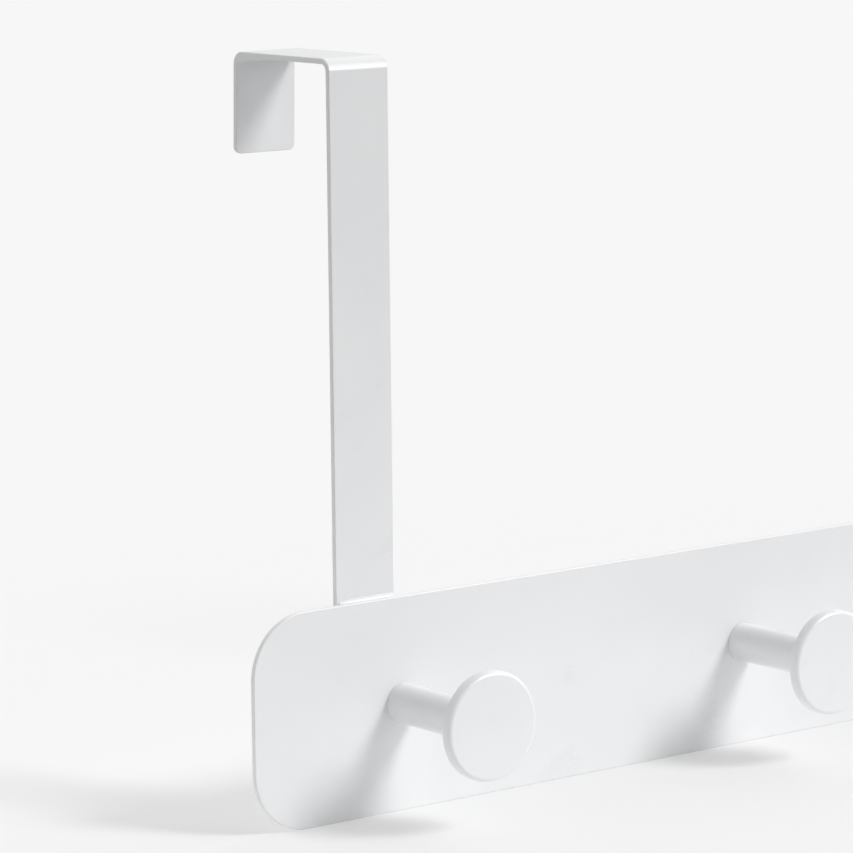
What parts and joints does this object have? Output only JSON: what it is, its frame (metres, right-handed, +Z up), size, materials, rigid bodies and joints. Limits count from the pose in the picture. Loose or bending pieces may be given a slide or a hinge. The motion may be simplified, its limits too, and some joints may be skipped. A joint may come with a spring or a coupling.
{
  "type": "over-door hook rail",
  "caption": "White steel rail that hangs over a door on two bent straps and carries round-headed pegs for coats and bags.",
  "frame": {"origin": "middle of the door's top front edge: the straps' backs lie in Y = 0 and the undersides of their arms in Z = 0, and X = 0 is halfway between the straps", "axes": "+X along the rail to the right as seen from the front, +Y back through the door, +Z up"},
  "size_m": [0.4424, 0.1076, 0.2616],
  "materials": {
    "white_coat": "satin white powder coat",
    "screw_steel": "zinc-plated"
  },
  "bodies": {
    "root": {"rail_plate": "white_coat", "strap_left": "white_coat", "strap_right": "white_coat", "weld_bead_left": "white_coat", "weld_bead_right": "white_coat", "peg_left": "white_coat", "peg_middle": "white_coat", "peg_right": "white_coat", "peg_screw_left": "screw_steel", "peg_screw_middle": "screw_steel", "peg_screw_right": "screw_steel"}
  },
  "joints": []
}
